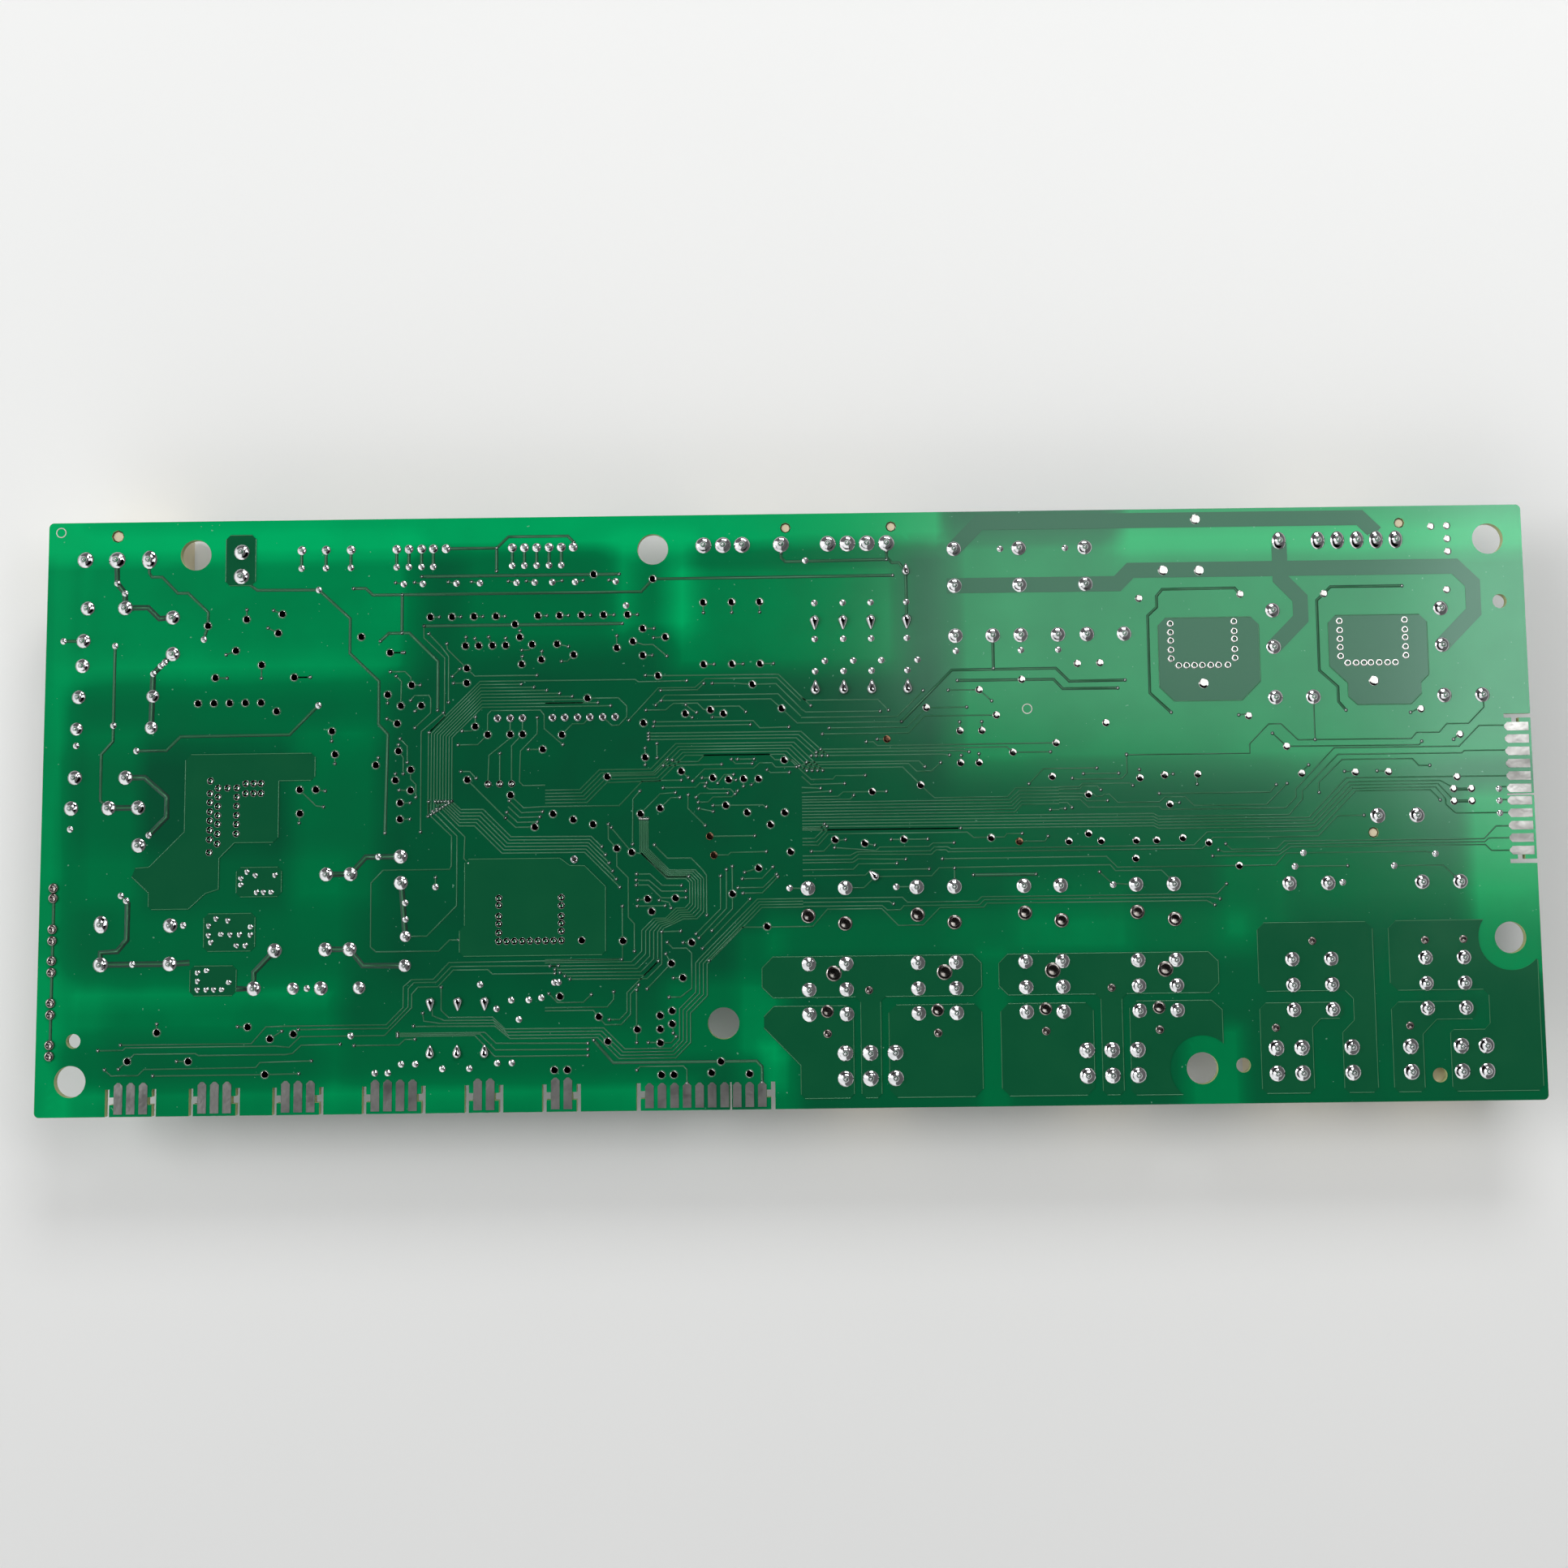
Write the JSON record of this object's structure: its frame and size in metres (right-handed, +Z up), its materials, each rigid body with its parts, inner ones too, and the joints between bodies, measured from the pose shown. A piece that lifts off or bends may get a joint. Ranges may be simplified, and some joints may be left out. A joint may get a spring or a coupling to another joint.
{
  "type": "oven control board",
  "caption": "Green double-sided control board of an electric oven, solder side up, with relays, connectors and its power supply beneath and plug-on contact tongues on two edges.",
  "frame": {"origin": "middle of the plane that the tallest components stand on, below the board's centre", "axes": "+X along the board's long side, towards the eleven-contact tongue; +Y towards the long edge with the mains connector; +Z up, out of the solder side"},
  "size_m": [0.302, 0.12, 0.0192],
  "materials": {
    "board": "semi-gloss green solder mask on glass-fibre laminate",
    "masked_copper": "copper under green solder mask",
    "tinned_contact": "levelled tin",
    "solder": "bright solder",
    "cream_nylon": "natural nylon",
    "tinned_brass": "tinned",
    "blue_epoxy": "dipped epoxy",
    "dark_epoxy": "dipped epoxy",
    "black_plastic": "moulded",
    "grey_film": "boxed film capacitor",
    "red_film": "boxed film capacitor",
    "ferrite": "sintered",
    "enamelled_wire": "enamelled copper wire",
    "yellow_tape": "polyester tape over the winding",
    "can_sleeve": "shrunk sleeve",
    "resistor_coat": "grey lacquer",
    "pale_plastic": "moulded",
    "relay_case": "moulded"
  },
  "bodies": {
    "root": {"bulk_capacitor_1": "can_sleeve", "bulk_capacitor_2": "can_sleeve", "bus_tracks": "masked_copper", "choke_bobbin": "black_plastic", "choke_core": "ferrite", "choke_windings": "enamelled_wire", "circuit_board": "board", "contact_relay_1": "relay_case", "contact_relay_2": "relay_case", "contact_relay_3": "relay_case", "contact_relay_4": "relay_case", "contact_relay_5": "relay_case", "controller_chip": "black_plastic", "copper_areas": "masked_copper", "earth_tab": "tinned_brass", "edge_contacts": "tinned_contact", "film_capacitor_1": "grey_film", "film_capacitor_2": "grey_film", "five_way_header": "cream_nylon", "fuse": "black_plastic", "header_pins": "tinned_brass", "inrush_thermistor": "dark_epoxy", "load_header_1": "cream_nylon", "load_header_2": "cream_nylon", "load_header_3": "cream_nylon", "load_header_4": "cream_nylon", "load_resistors": "resistor_coat", "mains_connector": "cream_nylon", "mains_connector_pins": "tinned_brass", "optocouplers": "pale_plastic", "output_capacitor_1": "can_sleeve", "output_capacitor_2": "can_sleeve", "output_capacitor_3": "can_sleeve", "power_package_bodies": "black_plastic", "power_package_tabs": "tinned_contact", "power_relay_1": "relay_case", "power_relay_2": "relay_case", "power_relay_3": "relay_case", "power_relay_4": "relay_case", "power_relay_5": "relay_case", "power_relay_6": "relay_case", "pulse_capacitor": "red_film", "relay_driver_chips": "black_plastic", "safety_capacitors": "blue_epoxy", "six_way_header": "cream_nylon", "solder_joints": "solder", "supply_chip": "black_plastic", "tab_header_1": "cream_nylon", "tab_header_2": "cream_nylon", "tab_header_3": "cream_nylon", "tab_header_4": "cream_nylon", "tab_terminals": "tinned_brass", "three_way_header": "cream_nylon", "transformer_bobbin": "black_plastic", "transformer_core": "ferrite", "transformer_winding": "yellow_tape", "varistor": "blue_epoxy"}
  },
  "joints": []
}
